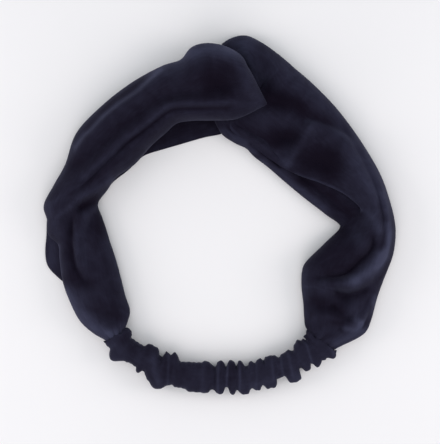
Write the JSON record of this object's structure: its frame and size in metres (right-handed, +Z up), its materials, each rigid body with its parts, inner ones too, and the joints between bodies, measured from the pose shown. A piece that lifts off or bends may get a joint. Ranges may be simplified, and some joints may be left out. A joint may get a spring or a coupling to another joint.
{
  "type": "twist headband",
  "caption": "Soft velvet headband: two folded bands linked in a cross-over twist at the front and closed at the back by a ruched elastic casing.",
  "frame": {"origin": "centre of the bounding box's base, on the surface that the headband lies on, inside the head opening", "axes": "+Y from the ruched casing towards the twist, +Z up from the surface, +X to the right seen from above with the twist away"},
  "size_m": [0.1982, 0.2008, 0.0294],
  "materials": {
    "velvet": "black velvet, soft nap with a faint blue-violet sheen at grazing folds",
    "velvet_casing": "the same black velvet, ruched",
    "elastic": "plain black woven elastic"
  },
  "bodies": {
    "root": {"left_band": "velvet", "right_band": "velvet", "elastic_casing": "velvet_casing", "elastic_core": "elastic"}
  },
  "joints": []
}
